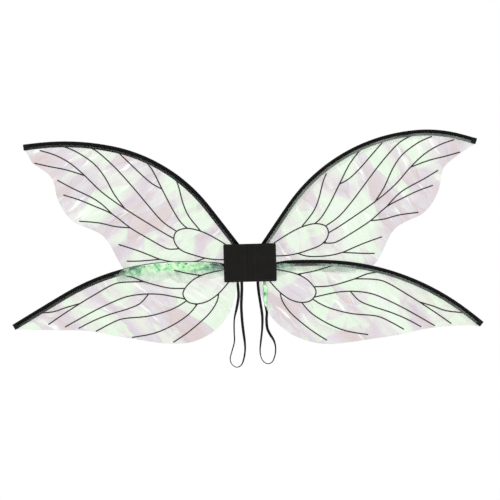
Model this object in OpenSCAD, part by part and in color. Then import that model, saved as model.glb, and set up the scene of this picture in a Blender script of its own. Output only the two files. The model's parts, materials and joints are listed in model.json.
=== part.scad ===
/* [Centre pad] */
// Width of the whole pad, across the wearer's back
pad_w = 101; // [90:1:115]
// Height of the pad
pad_h = 73; // [66:1:84]
// Width of the middle channel, between the two fold creases
spine_w = 11; // [9:0.5:12]
// Thickness of the pad's cloth
cloth = 1.2; // [1:0.1:1.3]
// Thickness of the padding on the wearer's side
padding = 4; // [3:0.5:4]
// Thickness of the stiff board in each half
board_t = 1.5; // [1:0.1:1.5]
// Corner radius of the pad
pad_r = 2; // [1:0.5:4]

/* [Wing frames] */
// Diameter of the steel wire in a leading edge
wire_d = 2.4; // [2:0.1:3]
// Thickness of the black sleeve over the wire, from the front to the back
sleeve_d = 5.2; // [5:0.1:5.2]
// Width of the sleeve, which is slightly flattened
sleeve_w = 6.4; // [5.4:0.1:6.8]
// Width of the tape beside the sleeve
tape_w = 5.2; // [4:0.1:5.6]
// Thickness of the tape
tape_t = 0.5; // [0.4:0.1:0.6]
// Length of the blunt cap on each tip
tip_l = 3; // [2:0.5:4]
// Turn of the right upper wing about the pad's centre, up is positive
right_upper_turn = -1.5; // [-3:0.1:0]
// Turn of the left upper wing
left_upper_turn = -1.5; // [-3:0.1:0]
// Turn of the right lower wing
right_lower_turn = -1.5; // [-2:0.1:0]
// Turn of the left lower wing
left_lower_turn = 0; // [-2:0.1:0]

/* [Film and veins] */
// Thickness of the film
film_t = 0.4; // [0.3:0.1:0.4]
// Width of a printed vein
vein_w = 2.4; // [2:0.1:3]
// Height of a vein above the film
vein_t = 0.4; // [0.2:0.1:0.4]

/* [Shoulder straps] */
// Width of the flat elastic
strap_w = 5.5; // [4:0.5:5.5]

/* [Hidden] */
$fn = 32;

black = [0.05, 0.05, 0.055];
charcoal = [0.13, 0.15, 0.14];
steel = [0.6, 0.6, 0.62];
film_colour = [0.85, 0.88, 0.86, 0.35];

// Depths, measured from the wearer's face of the pad towards the front
gap = 0.1;                      // clearance between layers that only lie together
upper_depth = 8.3;              // middle of the upper wings' layer
lower_depth = 11.6;             // middle of the lower wings' layer, in front of the upper
pad_depth = 15.6;               // front of the pad
backing_lip = 7.9;              // the back half's rim stops just behind the upper film
cover_lip = 12.4;               // the front half's rim stops just in front of the lower veins
crease = 0.3;                   // half the slit that each fold turns about

// Each leading edge: where its line starts, its first heading, its stretches and its depth.
// A stretch is [radius, degrees] for a bend to the right, or [0, length] for a straight.
right_upper_line = [
    [16.4, 23.5], 56.2, [[0, 100], [331.4, 51.2], [252.3, 21.2], [0, 23]], upper_depth
];
left_upper_line = [
    [14.9, 25.9], 55.2, [[0, 102.2], [314.8, 40.3], [453.7, 19.8], [0, 14.9]], upper_depth
];
right_lower_line = [
    [17.9, -10.6], 14.2, [[0, 33.2], [155.6, 13.7], [0, 44], [466.5, 39.6], [0, 19.8]], lower_depth
];
left_lower_line = [
    [18.1, -11.3], 13.6, [[0, 33.3], [175.6, 11.2], [0, 41.2], [437.7, 32.3], [0, 107.7]], lower_depth
];

eye_r = wire_d / 2 + 2;         // radius of the eye at the wire's root, to the wire's centre line
eye_bend = 300;                 // how far round the wire goes, in degrees
rivet_r = 1.9;                  // shank through the eye
rivet_head_r = 3.6;
rivet_head_t = 1.1;
tab_x = [10.5, 31];             // where the strap tab starts and ends, from the pad's middle
tab_h = 14;                     // how far the tab reaches up
sleeve_start = 6;               // where the sleeve begins, along the line
tape_start = 12;                // where the tape begins, along the line
film_margin = sleeve_w / 2 + tape_w + 0.15;   // film edge, from the wire's centre line

// Free edge of the upper film, from tip to root, and the corners inside the pad
upper_edge = [
    [408, 213], [389, 199], [374, 185], [368, 169], [365, 148], [357, 126], [344, 106],
    [328, 92], [306, 82], [284, 70], [271, 55], [262, 38], [254, 20], [242, 0],
    [222, -12], [170, -18], [100, -16], [44, -10]
];
upper_inside = [[44, 28]];
upper_film_start = 8;
// Free edges of the lower films, from tip to root, and the corners inside the pad
right_lower_edge = [
    [421, -120], [389, -121], [357, -124], [325, -129], [293, -137], [230, -147],
    [172, -155], [146, -156], [118, -152], [89, -142], [66, -128], [47, -111],
    [34, -93], [25, -72], [19, -52], [17, -30]
];
left_lower_edge = [
    [407, -118], [369, -120], [334, -121], [299, -125], [265, -133], [231, -140],
    [193, -147], [162, -151], [124, -151], [90, -140], [62, -121], [42, -95],
    [33, -72], [28, -50], [25, -30]
];
lower_inside = [[40, -30]];
lower_film_start = 22;

// Veins, each a smooth line through its own points, from the edge towards the root
right_upper_veins = [
    [[393, 237], [363, 226], [334, 208], [306, 181], [280, 151], [240, 117], [178, 74], [150, 57]],
    [[404, 213], [376, 205], [344, 197], [309, 184]],
    [[350, 243], [325, 232], [293, 208], [274, 180], [258, 145], [240, 117]],
    [[312, 245], [287, 231], [255, 196], [223, 154], [197, 119], [172, 90], [146, 71]],
    [[256, 233], [232, 205], [210, 180], [191, 162], [172, 151]],
    [[211, 216], [191, 189], [172, 151], [153, 113], [137, 87], [124, 75]],
    [[147, 172], [140, 154], [132, 122], [121, 97], [100, 70]],
    [[362, 178], [334, 161], [299, 142], [280, 127], [263, 108]],
    [[352, 149], [322, 138], [293, 124], [263, 108], [232, 81], [197, 58], [172, 43], [159, 38], [140, 38]],
    [[324, 97], [287, 92], [258, 84], [232, 81]],
    [[254, 50], [223, 39], [201, 30], [178, 20], [153, 14], [127, 12], [108, 13], [92, 18]],
    [[240, 18], [217, 18], [178, 20]],
    [[46, 38], [76, 57], [100, 69], [122, 75], [137, 74], [147, 69], [151, 57], [146, 44],
     [134, 33], [114, 25], [92, 18], [70, 14], [46, 13]]
];
right_lower_veins = [
    [[159, -5], [134, -13], [114, -18], [91, -22]],
    [[243, -18], [223, -22], [201, -31], [172, -40], [150, -45], [124, -46]],
    [[201, -31], [223, -31], [248, -33], [267, -40], [296, -57], [325, -75], [357, -96], [387, -117]],
    [[325, -75], [354, -84], [376, -92], [409, -96]],
    [[124, -66], [146, -61], [172, -56], [204, -55], [236, -60], [267, -73], [299, -89], [331, -107],
     [355, -121]],
    [[193, -55], [210, -73], [236, -84], [267, -94], [299, -107], [329, -123]],
    [[119, -69], [137, -80], [159, -89], [197, -98], [242, -102], [267, -112], [296, -128]],
    [[99, -76], [118, -97], [150, -117], [185, -131], [227, -138]],
    [[58, -57], [62, -73], [76, -94], [99, -115], [124, -134], [148, -149]],
    [[46, -12], [73, -17], [91, -22], [108, -31], [122, -45], [127, -57], [121, -69], [111, -75],
     [95, -76], [76, -70], [59, -58], [47, -46], [36, -33]]
];

// The left wings' print lies a little to one side of where the right wings' does:
// the upper one towards the pad and down near its root, the lower one outwards and up near its tip
function share(x, from, to) = max(0, min(1, (x - from) / (to - from)));
function slipped(p) = p - share(p[0], 300, 200) * [5 + 0.035 * p[1], 5 * (1 - p[1] / 170)];
function lifted(p) = p + [3.5, 0.05 * max(0, p[0] - 220)];
left_upper_veins = [for (line = right_upper_veins) [for (p = line) slipped(p)]];
left_lower_veins = [for (line = right_lower_veins) [for (p = line) lifted(p)]];

// Each strap's route: out of the tab, down, round and back up to the tab
strap_exit_y = -3.2;
strap_top = -pad_h / 2 - 0.3;
left_route = [
    [-25, strap_exit_y, strap_top], [-24, -3.4, -50], [-24, -3.8, -66], [-28, -3.4, -87],
    [-33, -2.4, -108], [-34, -1.4, -131], [-34, -0.6, -151], [-39, 0, -169], [-43, 0.4, -184],
    [-40, 0.6, -195], [-31, 0.8, -201], [-22, 1, -197], [-17, 1.2, -186], [-14, 1.4, -170],
    [-14, 1.6, -154], [-16, 1.8, -135], [-18, 1.6, -113], [-19, 0.4, -86], [-18, -1.6, -66],
    [-17, -2.9, -50], [-17, strap_exit_y, strap_top]
];
right_route = [
    [14, strap_exit_y, strap_top], [15, -3, -54], [18, -2, -78], [21, -1.2, -104], [20, -0.6, -129],
    [17, 0, -152], [15, 0.6, -170], [17, 1, -184], [23, 1.2, -193], [31, 1.4, -196],
    [39, 1.2, -191], [44, 1, -178], [45, 0.8, -164], [42, 0.6, -151], [35, 0.4, -139],
    [30, 0.2, -127], [29, 0, -110], [30, -0.6, -97], [28, -1.4, -82], [27, -2.4, -60],
    [27, strap_exit_y, strap_top]
];
strap_sides = 8;
wire_sides = 8;
sleeve_sides = 12;
bend_step = 4;                  // most degrees of a bend between two stops

// Heading and place at the end of a stretch that starts at s = [x, z, heading]
function bend_centre(s, k) = [s[0] + k[0] * sin(s[2]), s[1] - k[0] * cos(s[2])];
function stretch_end(s, k) =
    k[0] == 0
    ? [s[0] + k[1] * cos(s[2]), s[1] + k[1] * sin(s[2]), s[2]]
    : let (c = bend_centre(s, k), h = s[2] - k[1])
      [c[0] - k[0] * sin(h), c[1] + k[0] * cos(h), h];
// Every stop of a leading edge as [x, z, heading], from a distance along its first straight
function stretch_stops(s, k) =
    k[0] == 0 ? [s]
    : [for (a = [0 : k[1] / ceil(k[1] / bend_step) : k[1] - 0.01]) stretch_end(s, [k[0], a])];
function stretch_start(run, s, i) = i == 0 ? s : stretch_end(stretch_start(run, s, i - 1), run[i - 1]);
function stops(wing, from) =
    let (run = wing[2], s = [wing[0][0], wing[0][1], wing[1]], first = stretch_end(s, [0, from]))
    concat(
        [first],
        [for (i = [1 : len(run) - 1]) each stretch_stops(stretch_start(run, s, i), run[i])],
        [stretch_start(run, s, len(run))]
    );
// Stops round the eye, which lies left of the line's start
function eye_centre(wing) = beside([wing[0][0], wing[0][1], wing[1]], eye_r);
function eye_stops(wing) = [
    for (a = [-eye_bend : 20 : -20])
        let (h = wing[1] + a, c = eye_centre(wing))
        [c[0] + eye_r * sin(h), c[1] - eye_r * cos(h), h]
];
// Point beside a stop, u to the left of the heading
function beside(s, u) = [s[0] - u * sin(s[2]), s[1] + u * cos(s[2])];

// Smooth curve through a list of points
function clamp_index(p, i) = p[max(0, min(len(p) - 1, i))];
function spline_point(a, b, c, d, t) =
    0.5 * (2 * b + (c - a) * t + (2 * a - 5 * b + 4 * c - d) * t * t
           + (3 * b - a - 3 * c + d) * t * t * t);
function smooth_line(p, steps) = [
    for (i = [0 : len(p) - 2], j = [0 : steps - 1])
        spline_point(clamp_index(p, i - 1), p[i], p[i + 1], clamp_index(p, i + 2), j / steps),
    p[len(p) - 1]
];
function direction(p, i) =
    let (d = clamp_index(p, i + 1) - clamp_index(p, i - 1))
    d / norm(d);
function side_line(p, u) = [
    for (i = [0 : len(p) - 1]) p[i] + u * [-direction(p, i)[1], direction(p, i)[0]]
];
function reversed(p) = [for (i = [len(p) - 1 : -1 : 0]) p[i]];

// Stands the flat drawing up: drawn x and y become X and Z, and depth becomes -Y
module upright() { rotate([90, 0, 0]) children(); }
module layer(depth, thick) { translate([0, 0, depth]) linear_extrude(thick) children(); }
module turned(angle) { rotate([0, 0, angle]) children(); }
module on_left() { mirror([1, 0, 0]) children(); }

// Carries a cross-section past every stop; its x is left of the heading, its y is depth.
// A hole has as many points as the section.
function ring(s, section, depth) = [for (p = section) concat(beside(s, p[0]), depth + p[1])];
function skin(rings, n, from, inward) = [
    for (i = [0 : rings - 2], j = [0 : n - 1])
        let (k = (j + 1) % n, a = from + i * n, b = a + n)
        each inward
            ? [[a + j, a + k, b + k], [a + j, b + k, b + j]]
            : [[a + j, b + j, b + k], [a + j, b + k, a + k]]
];
function end_ring(n, a, b, flip) = [
    for (j = [0 : n - 1])
        let (k = (j + 1) % n)
        flip ? [a + j, b + j, b + k, a + k] : [a + k, b + k, b + j, a + j]
];
module sweep(path, depth, section, hole = []) {
    n = len(section);
    rings = len(path);
    size = rings * n;
    outer = [for (s = path) each ring(s, section, depth)];
    inner = [for (s = path) each ring(s, hole, depth)];
    ends = len(hole) == 0
        ? [[for (j = [0 : n - 1]) j], [for (j = [n - 1 : -1 : 0]) size - n + j]]
        : concat(end_ring(n, 0, size, false), end_ring(n, size - n, 2 * size - n, true));
    walls = len(hole) == 0
        ? skin(rings, n, 0, false)
        : concat(skin(rings, n, 0, false), skin(rings, n, size, true));
    polyhedron(concat(outer, inner), concat(walls, ends));
}
function oval_section(w, d, sides) = [
    for (j = [0 : sides - 1])
        let (a = -360 * (j + 0.5) / sides)
        [w / 2 * cos(a), d / 2 * sin(a)]
];

module wire(wing) {
    sweep(concat(eye_stops(wing), stops(wing, 0)), wing[3], oval_section(wire_d, wire_d, wire_sides));
}
module sleeve(wing) {
    bore = wire_d + 2 * gap;
    sweep(stops(wing, sleeve_start), wing[3],
          oval_section(sleeve_w, sleeve_d, sleeve_sides), oval_section(bore, bore, sleeve_sides));
}
module tape(wing) {
    outer = -sleeve_w / 2 - gap;
    inner = outer - tape_w;
    sweep(stops(wing, tape_start), wing[3], [
        [outer, tape_t / 2], [outer, -tape_t / 2], [inner, -tape_t / 2], [inner, tape_t / 2]
    ]);
}
module tip(wing) {
    path = stops(wing, 0);
    s = path[len(path) - 1];
    width = sleeve_w + tape_w;
    translate([s[0], s[1], wing[3]])
    rotate([0, 0, s[2]])
    translate([0, sleeve_w / 2 - width, -sleeve_d / 2])
    cube([tip_l, width, sleeve_d]);
}
module outline(wing, start, edge, inside) {
    spar = [for (s = stops(wing, start)) beside(s, -film_margin)];
    polygon(concat(spar, smooth_line(edge, 3), inside));
}
module upper_outline(wing) { outline(wing, upper_film_start, upper_edge, upper_inside); }
module lower_outline(wing, edge) { outline(wing, lower_film_start, edge, lower_inside); }
module film(depth) { layer(depth - film_t / 2, film_t) children(); }
// Veins, kept on the film whose outline is given
module veins(lines, depth) {
    layer(depth + film_t / 2, vein_t)
    intersection() {
        offset(delta = 0.01)
        for (line = lines) {
            p = smooth_line(line, 3);
            polygon(concat(side_line(p, vein_w / 2), reversed(side_line(p, -vein_w / 2))));
        }
        children();
    }
}

// Half of the pad, drawn for the right side
half_start = spine_w / 2 + crease;
half_w = pad_w / 2 - half_start;
module half_outline(inset) {
    x0 = half_start + inset;
    x1 = pad_w / 2 - inset;
    z1 = pad_h / 2 - inset;
    r = max(0.5, pad_r - inset);
    polygon(concat(
        [[x0, z1], [x0, -z1]],
        [for (a = [0 : 22.5 : 90]) [x1 - r + r * sin(a), -z1 + r - r * cos(a)]],
        [for (a = [0 : 22.5 : 90]) [x1 - r + r * cos(a), z1 - r + r * sin(a)]]
    ));
}
module strap_tab_outline(grow) {
    translate([tab_x[0] - grow, -pad_h / 2 - grow])
    square([tab_x[1] - tab_x[0] + 2 * grow, tab_h + 2 * grow]);
}
module half_cover() {
    difference() {
        layer(cover_lip, pad_depth - cover_lip) half_outline(0);
        layer(cover_lip - 1, pad_depth - cloth - cover_lip + 1) half_outline(cloth);
        translate([pad_w / 2 - 4, -9, cover_lip - 1]) cube([8, 12, 3]);
    }
}
module half_backing() {
    difference() {
        layer(0, backing_lip) half_outline(0);
        layer(padding, backing_lip) half_outline(cloth);
        layer(-1, padding + 2) strap_tab_outline(gap);
        translate([18, pad_h / 2 - 4, padding + 1]) cube([19, 8, 8]);
    }
}
module rivet_hole(wing) {
    translate(concat(eye_centre(wing), 0))
    cylinder(r = rivet_r + gap / 2, h = pad_depth);
}
module half_board(upper, upper_turn, lower, lower_turn) {
    difference() {
        layer(padding + gap, board_t) half_outline(cloth + 0.4);
        turned(upper_turn) rivet_hole(upper);
        turned(lower_turn) rivet_hole(lower);
    }
}
// A rivet holds a wire's eye to the board, with a shoulder under the eye
module rivet(wing) {
    back = padding + gap;
    face = back + board_t;
    eye_back = wing[3] - wire_d / 2;
    eye_front = wing[3] + wire_d / 2;
    translate(concat(eye_centre(wing), 0)) {
        translate([0, 0, back]) cylinder(r = rivet_r, h = eye_front - back + rivet_head_t);
        translate([0, 0, face]) cylinder(r = rivet_head_r, h = eye_back - face);
        translate([0, 0, eye_front]) cylinder(r = rivet_head_r, h = rivet_head_t);
    }
}
module half_rivets(upper, upper_turn, lower, lower_turn) {
    turned(upper_turn) rivet(upper);
    turned(lower_turn) rivet(lower);
}
module half_strap_tab() { layer(0, padding) strap_tab_outline(0); }

module strap(route) {
    path = smooth_line(route, 2);
    across = [0, 1, 0];
    points = [
        for (i = [0 : len(path) - 1], j = [0 : strap_sides - 1])
            let (d = direction(path, i), n = cross(d, across), m = n / norm(n), b = cross(m, d),
                 a = 360 * (j + 0.5) / strap_sides)
            path[i] + strap_w / 2 * (cos(a) * m + sin(a) * b)
    ];
    sides = [
        for (i = [0 : len(path) - 2], j = [0 : strap_sides - 1])
            let (k = (j + 1) % strap_sides, a = i * strap_sides, b = a + strap_sides)
            each [[a + j, b + j, b + k], [a + j, b + k, a + k]]
    ];
    first = [for (j = [0 : strap_sides - 1]) j];
    last = [for (j = [strap_sides - 1 : -1 : 0]) (len(path) - 1) * strap_sides + j];
    polyhedron(points, concat(sides, [first, last]));
}

module spine_cover() {
    color(black)
    upright()
    difference() {
        translate([-spine_w / 2 + crease, -pad_h / 2, 0]) cube([spine_w - 2 * crease, pad_h, pad_depth]);
        translate([-spine_w / 2 + crease + cloth, -pad_h / 2 + cloth, cloth])
        cube([spine_w - 2 * (crease + cloth), pad_h - 2 * cloth, pad_depth - 2 * cloth]);
    }
}
module spine_core() {
    inset = crease + cloth + gap;
    color(charcoal)
    upright()
    translate([-spine_w / 2 + inset, -pad_h / 2 + cloth + gap, cloth + gap])
    cube([spine_w - 2 * inset, pad_h - 2 * (cloth + gap), pad_depth - 2 * (cloth + gap)]);
}

module left_cover() { color(black) upright() on_left() half_cover(); }
module left_board() {
    color("tan") upright() on_left()
    half_board(left_upper_line, left_upper_turn, left_lower_line, left_lower_turn);
}
module left_backing() { color(black) upright() on_left() half_backing(); }
module left_rivets() {
    color(steel) upright() on_left()
    half_rivets(left_upper_line, left_upper_turn, left_lower_line, left_lower_turn);
}
module left_strap_tab() { color(charcoal) upright() on_left() half_strap_tab(); }
module right_cover() { color(black) upright() half_cover(); }
module right_board() {
    color("tan") upright()
    half_board(right_upper_line, right_upper_turn, right_lower_line, right_lower_turn);
}
module right_backing() { color(black) upright() half_backing(); }
module right_rivets() {
    color(steel) upright()
    half_rivets(right_upper_line, right_upper_turn, right_lower_line, right_lower_turn);
}
module right_strap_tab() { color(charcoal) upright() half_strap_tab(); }

module left_upper() { upright() on_left() turned(left_upper_turn) children(); }
module left_lower() { upright() on_left() turned(left_lower_turn) children(); }
module right_upper() { upright() turned(right_upper_turn) children(); }
module right_lower() { upright() turned(right_lower_turn) children(); }

module left_upper_wire() { color(steel) left_upper() wire(left_upper_line); }
module left_upper_sleeve() { color(black) left_upper() sleeve(left_upper_line); }
module left_upper_tape() { color(charcoal) left_upper() tape(left_upper_line); }
module left_upper_tip() { color(black) left_upper() tip(left_upper_line); }
module left_upper_film() {
    color(film_colour) left_upper()
    film(upper_depth) upper_outline(left_upper_line);
}
module left_upper_veins() {
    color(black) left_upper()
    veins(left_upper_veins, upper_depth) upper_outline(left_upper_line);
}
module left_lower_wire() { color(steel) left_lower() wire(left_lower_line); }
module left_lower_sleeve() { color(black) left_lower() sleeve(left_lower_line); }
module left_lower_tape() { color(charcoal) left_lower() tape(left_lower_line); }
module left_lower_tip() { color(black) left_lower() tip(left_lower_line); }
module left_lower_film() {
    color(film_colour) left_lower()
    film(lower_depth) lower_outline(left_lower_line, left_lower_edge);
}
module left_lower_veins() {
    color(black) left_lower()
    veins(left_lower_veins, lower_depth) lower_outline(left_lower_line, left_lower_edge);
}
module right_upper_wire() { color(steel) right_upper() wire(right_upper_line); }
module right_upper_sleeve() { color(black) right_upper() sleeve(right_upper_line); }
module right_upper_tape() { color(charcoal) right_upper() tape(right_upper_line); }
module right_upper_tip() { color(black) right_upper() tip(right_upper_line); }
module right_upper_film() {
    color(film_colour) right_upper()
    film(upper_depth) upper_outline(right_upper_line);
}
module right_upper_veins() {
    color(black) right_upper()
    veins(right_upper_veins, upper_depth) upper_outline(right_upper_line);
}
module right_lower_wire() { color(steel) right_lower() wire(right_lower_line); }
module right_lower_sleeve() { color(black) right_lower() sleeve(right_lower_line); }
module right_lower_tape() { color(charcoal) right_lower() tape(right_lower_line); }
module right_lower_tip() { color(black) right_lower() tip(right_lower_line); }
module right_lower_film() {
    color(film_colour) right_lower()
    film(lower_depth) lower_outline(right_lower_line, right_lower_edge);
}
module right_lower_veins() {
    color(black) right_lower()
    veins(right_lower_veins, lower_depth) lower_outline(right_lower_line, right_lower_edge);
}
module left_strap() { color(black) strap(left_route); }
module right_strap() { color(black) strap(right_route); }

spine_cover();
spine_core();
left_cover();
left_board();
left_backing();
left_rivets();
left_strap_tab();
right_cover();
right_board();
right_backing();
right_rivets();
right_strap_tab();
left_upper_wire();
left_upper_sleeve();
left_upper_tape();
left_upper_tip();
left_upper_film();
left_upper_veins();
left_lower_wire();
left_lower_sleeve();
left_lower_tape();
left_lower_tip();
left_lower_film();
left_lower_veins();
right_upper_wire();
right_upper_sleeve();
right_upper_tape();
right_upper_tip();
right_upper_film();
right_upper_veins();
right_lower_wire();
right_lower_sleeve();
right_lower_tape();
right_lower_tip();
right_lower_film();
right_lower_veins();
left_strap();
right_strap();
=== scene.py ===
import json
import math

import bmesh
import bpy
from mathutils import Matrix, Vector, noise
from mathutils.bvhtree import BVHTree

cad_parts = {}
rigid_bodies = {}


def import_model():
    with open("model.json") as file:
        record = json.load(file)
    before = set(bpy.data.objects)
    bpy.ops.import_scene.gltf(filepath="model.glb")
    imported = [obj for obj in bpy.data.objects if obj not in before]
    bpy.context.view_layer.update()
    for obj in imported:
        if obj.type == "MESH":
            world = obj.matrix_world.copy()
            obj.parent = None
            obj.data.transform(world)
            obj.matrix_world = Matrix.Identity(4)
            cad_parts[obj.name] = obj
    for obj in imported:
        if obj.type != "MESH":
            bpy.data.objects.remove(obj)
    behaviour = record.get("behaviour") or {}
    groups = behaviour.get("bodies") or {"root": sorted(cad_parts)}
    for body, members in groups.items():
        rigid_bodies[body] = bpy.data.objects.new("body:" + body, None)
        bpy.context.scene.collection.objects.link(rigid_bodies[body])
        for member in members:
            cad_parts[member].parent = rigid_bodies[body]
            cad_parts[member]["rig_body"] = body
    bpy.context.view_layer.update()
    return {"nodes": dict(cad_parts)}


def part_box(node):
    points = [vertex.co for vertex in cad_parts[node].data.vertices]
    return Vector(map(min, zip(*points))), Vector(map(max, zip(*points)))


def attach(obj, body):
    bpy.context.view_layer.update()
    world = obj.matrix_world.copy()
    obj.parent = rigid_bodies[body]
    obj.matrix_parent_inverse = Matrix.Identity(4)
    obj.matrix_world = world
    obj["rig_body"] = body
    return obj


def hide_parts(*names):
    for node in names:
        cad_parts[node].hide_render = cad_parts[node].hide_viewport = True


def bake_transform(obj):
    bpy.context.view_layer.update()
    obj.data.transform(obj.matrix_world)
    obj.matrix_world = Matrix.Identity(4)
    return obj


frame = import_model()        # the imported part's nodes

bl_info = {
    "name": "Fairy wings",
    "version": (1, 0, 0),
    "blender": (4, 5, 0),
    "location": "View3D > Sidebar > Wings",
    "description": "Builds the film, veins, edges, pad and straps of a pair of dress-up wings",
    "category": "Object",
}

SIDES = ("left", "right")
LEVELS = ("upper", "lower")
WINGS = [(side, level) for side in SIDES for level in LEVELS]
MM = 0.001
TOWARDS_CAMERA = Vector((0, -1, 0))
MERGE = 1e-6
SLEEVE_WIDTH = 6.4 * MM
TAPE_WIDTH = 5.2 * MM


# ---------------------------------------------------------------- user's sizes and colours

class FilmSettings(bpy.types.PropertyGroup):
    thickness: bpy.props.FloatProperty(
        name="Film thickness", description="Thickness of the clear film",
        default=0.2 * MM, unit="LENGTH", precision=5)
    grain: bpy.props.FloatProperty(
        name="Film mesh step", description="Distance between the film's mesh lines",
        default=3.5 * MM, unit="LENGTH", precision=4)
    billow: bpy.props.FloatProperty(
        name="Billow", description="How far the film bellies between its edges",
        default=2.2 * MM, unit="LENGTH", precision=4)
    crease: bpy.props.FloatProperty(
        name="Crease depth", description="Depth of the film's creases",
        default=0.9 * MM, unit="LENGTH", precision=4)
    pink: bpy.props.FloatVectorProperty(
        name="Pink", description="Colour of the pink patches", subtype="COLOR",
        size=4, default=(0.54, 0.34, 0.36, 1.0))
    mint: bpy.props.FloatVectorProperty(
        name="Mint", description="Colour of the mint patches", subtype="COLOR",
        size=4, default=(0.65, 0.86, 0.60, 1.0))
    lilac: bpy.props.FloatVectorProperty(
        name="Lilac", description="Colour of the lilac patches", subtype="COLOR",
        size=4, default=(0.54, 0.42, 0.56, 1.0))


class EdgeSettings(bpy.types.PropertyGroup):
    vein_height: bpy.props.FloatProperty(
        name="Vein height", description="How far a vein stands above the film",
        default=0.6 * MM, unit="LENGTH", precision=5)
    hem_reach: bpy.props.FloatProperty(
        name="Hem width", description="Width of the film folded over the tape",
        default=11.5 * MM, unit="LENGTH", precision=4)
    gather_reach: bpy.props.FloatProperty(
        name="Gathered hem width", description="Width of the hem where it is crumpled at a lower wing's root",
        default=30 * MM, unit="LENGTH", precision=4)


class PadSettings(bpy.types.PropertyGroup):
    cloth: bpy.props.FloatProperty(
        name="Cloth thickness", description="Thickness of the pad's cloth",
        default=1.0 * MM, unit="LENGTH", precision=4)
    stitch_pitch: bpy.props.FloatProperty(
        name="Stitch pitch", description="Distance from one stitch to the next",
        default=3.0 * MM, unit="LENGTH", precision=4)
    black: bpy.props.FloatVectorProperty(
        name="Pad black", description="Colour of the pad's cloth", subtype="COLOR",
        size=4, default=(0.0075, 0.0072, 0.0066, 1.0))


class StrapSettings(bpy.types.PropertyGroup):
    width: bpy.props.FloatProperty(
        name="Elastic width", description="Width of the flat elastic",
        default=5.5 * MM, unit="LENGTH", precision=4)
    thickness: bpy.props.FloatProperty(
        name="Elastic thickness", description="Thickness of the flat elastic",
        default=1.1 * MM, unit="LENGTH", precision=4)


class WingSettings(bpy.types.PropertyGroup):
    film: bpy.props.PointerProperty(type=FilmSettings)
    edge: bpy.props.PointerProperty(type=EdgeSettings)
    pad: bpy.props.PointerProperty(type=PadSettings)
    strap: bpy.props.PointerProperty(type=StrapSettings)


def chosen():
    return bpy.context.scene.fairy_wings


# ---------------------------------------------------------------- finishes

class Signal:
    """One output of a finish's nodes. Arithmetic on it adds Math nodes."""

    def __init__(self, finish, socket):
        self.finish = finish
        self.socket = socket

    def _math(self, operation, first, second=0.0):
        return self.finish.node("Math", {"operation": operation}, {0: first, 1: second})

    def __add__(self, other):
        return self._math("ADD", self, other)

    def __radd__(self, other):
        return self._math("ADD", other, self)

    def __sub__(self, other):
        return self._math("SUBTRACT", self, other)

    def __rsub__(self, other):
        return self._math("SUBTRACT", other, self)

    def __mul__(self, other):
        return self._math("MULTIPLY", self, other)

    def __rmul__(self, other):
        return self._math("MULTIPLY", other, self)


class Finish:
    """A procedural material. Its patterns lie in the frame's own coordinates."""

    def __init__(self, name, **constants):
        self.material = bpy.data.materials.new(name)
        self.material.use_nodes = True
        self.tree = self.material.node_tree
        self.shader = self.tree.nodes["Principled BSDF"]
        self.place = self.node("TexCoord", output="Object")
        for socket, value in constants.items():
            self.shader.inputs[socket.replace("_", " ")].default_value = value

    def node(self, kind, settings=None, sockets=None, output=0):
        """Adds one node: its settings first, then the values or links of its sockets."""
        made = self.tree.nodes.new("ShaderNode" + kind)
        for name, value in (settings or {}).items():
            if name == "stops":
                self._set_stops(made.color_ramp, value)
            else:
                setattr(made, name, value)
        for name, value in (sockets or {}).items():
            if isinstance(value, Signal):
                self.tree.links.new(value.socket, made.inputs[name])
            else:
                made.inputs[name].default_value = value
        return Signal(self, made.outputs[output])

    @staticmethod
    def _set_stops(ramp, stops):
        while len(ramp.elements) < len(stops):
            ramp.elements.new(1.0)
        for element, (position, colour) in zip(ramp.elements, stops):
            element.position = position
            element.color = colour

    def feed(self, socket, signal):
        self.tree.links.new(signal.socket, self.shader.inputs[socket])

    def noise(self, scale, detail=3.0, place=None, output=0, **sockets):
        values = {"Vector": place or self.place, "Scale": scale, "Detail": detail}
        values.update(sockets)
        return self.node("TexNoise", None, values, output)

    def cells(self, scale, feature="F1", place=None, output=0):
        return self.node("TexVoronoi", {"feature": feature},
                         {"Vector": place or self.place, "Scale": scale}, output)

    def wave(self, scale, direction, distortion=0.0, profile="SIN", place=None):
        return self.node("TexWave", {"bands_direction": direction, "wave_profile": profile},
                         {"Vector": place or self.place, "Scale": scale, "Distortion": distortion})

    def mapped(self, turn=0.0, scale=(1, 1, 1), place=None):
        """Coordinates turned in the XZ plane, from +X towards +Z, and then scaled."""
        turned = self.node("Mapping", None, {"Vector": place or self.place, "Rotation": (0, turn, 0)})
        return self.node("Mapping", None, {"Vector": turned, "Scale": scale})

    def ramp(self, signal, stops):
        return self.node("ValToRGB", {"stops": stops}, {"Fac": signal})

    def range(self, signal, low, high, to_low=0.0, to_high=1.0):
        return self.node("MapRange", None, {"Value": signal, "From Min": low, "From Max": high,
                                            "To Min": to_low, "To Max": to_high})

    def mix(self, factor, first, second):
        return self.node("Mix", {"data_type": "RGBA"}, {0: factor, 6: first, 7: second}, output=2)

    def bump(self, height, distance, strength=1.0):
        self.feed("Normal", self.node("Bump", None, {"Height": height, "Distance": distance,
                                                     "Strength": strength}))


def grey(value, alpha=1.0):
    return (value, value, value, alpha)


def weave_height(finish, threads):
    """Height of a plain weave that lies in the XZ plane, from 0 to 1."""
    across = finish.wave(threads, "X")
    along = finish.wave(threads, "Z")
    over = finish.node("TexChecker", None, {"Vector": finish.place, "Scale": threads * 3.1})
    over = Signal(finish, over.socket.node.outputs["Fac"])
    return across * over + along * (1 - over)


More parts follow.
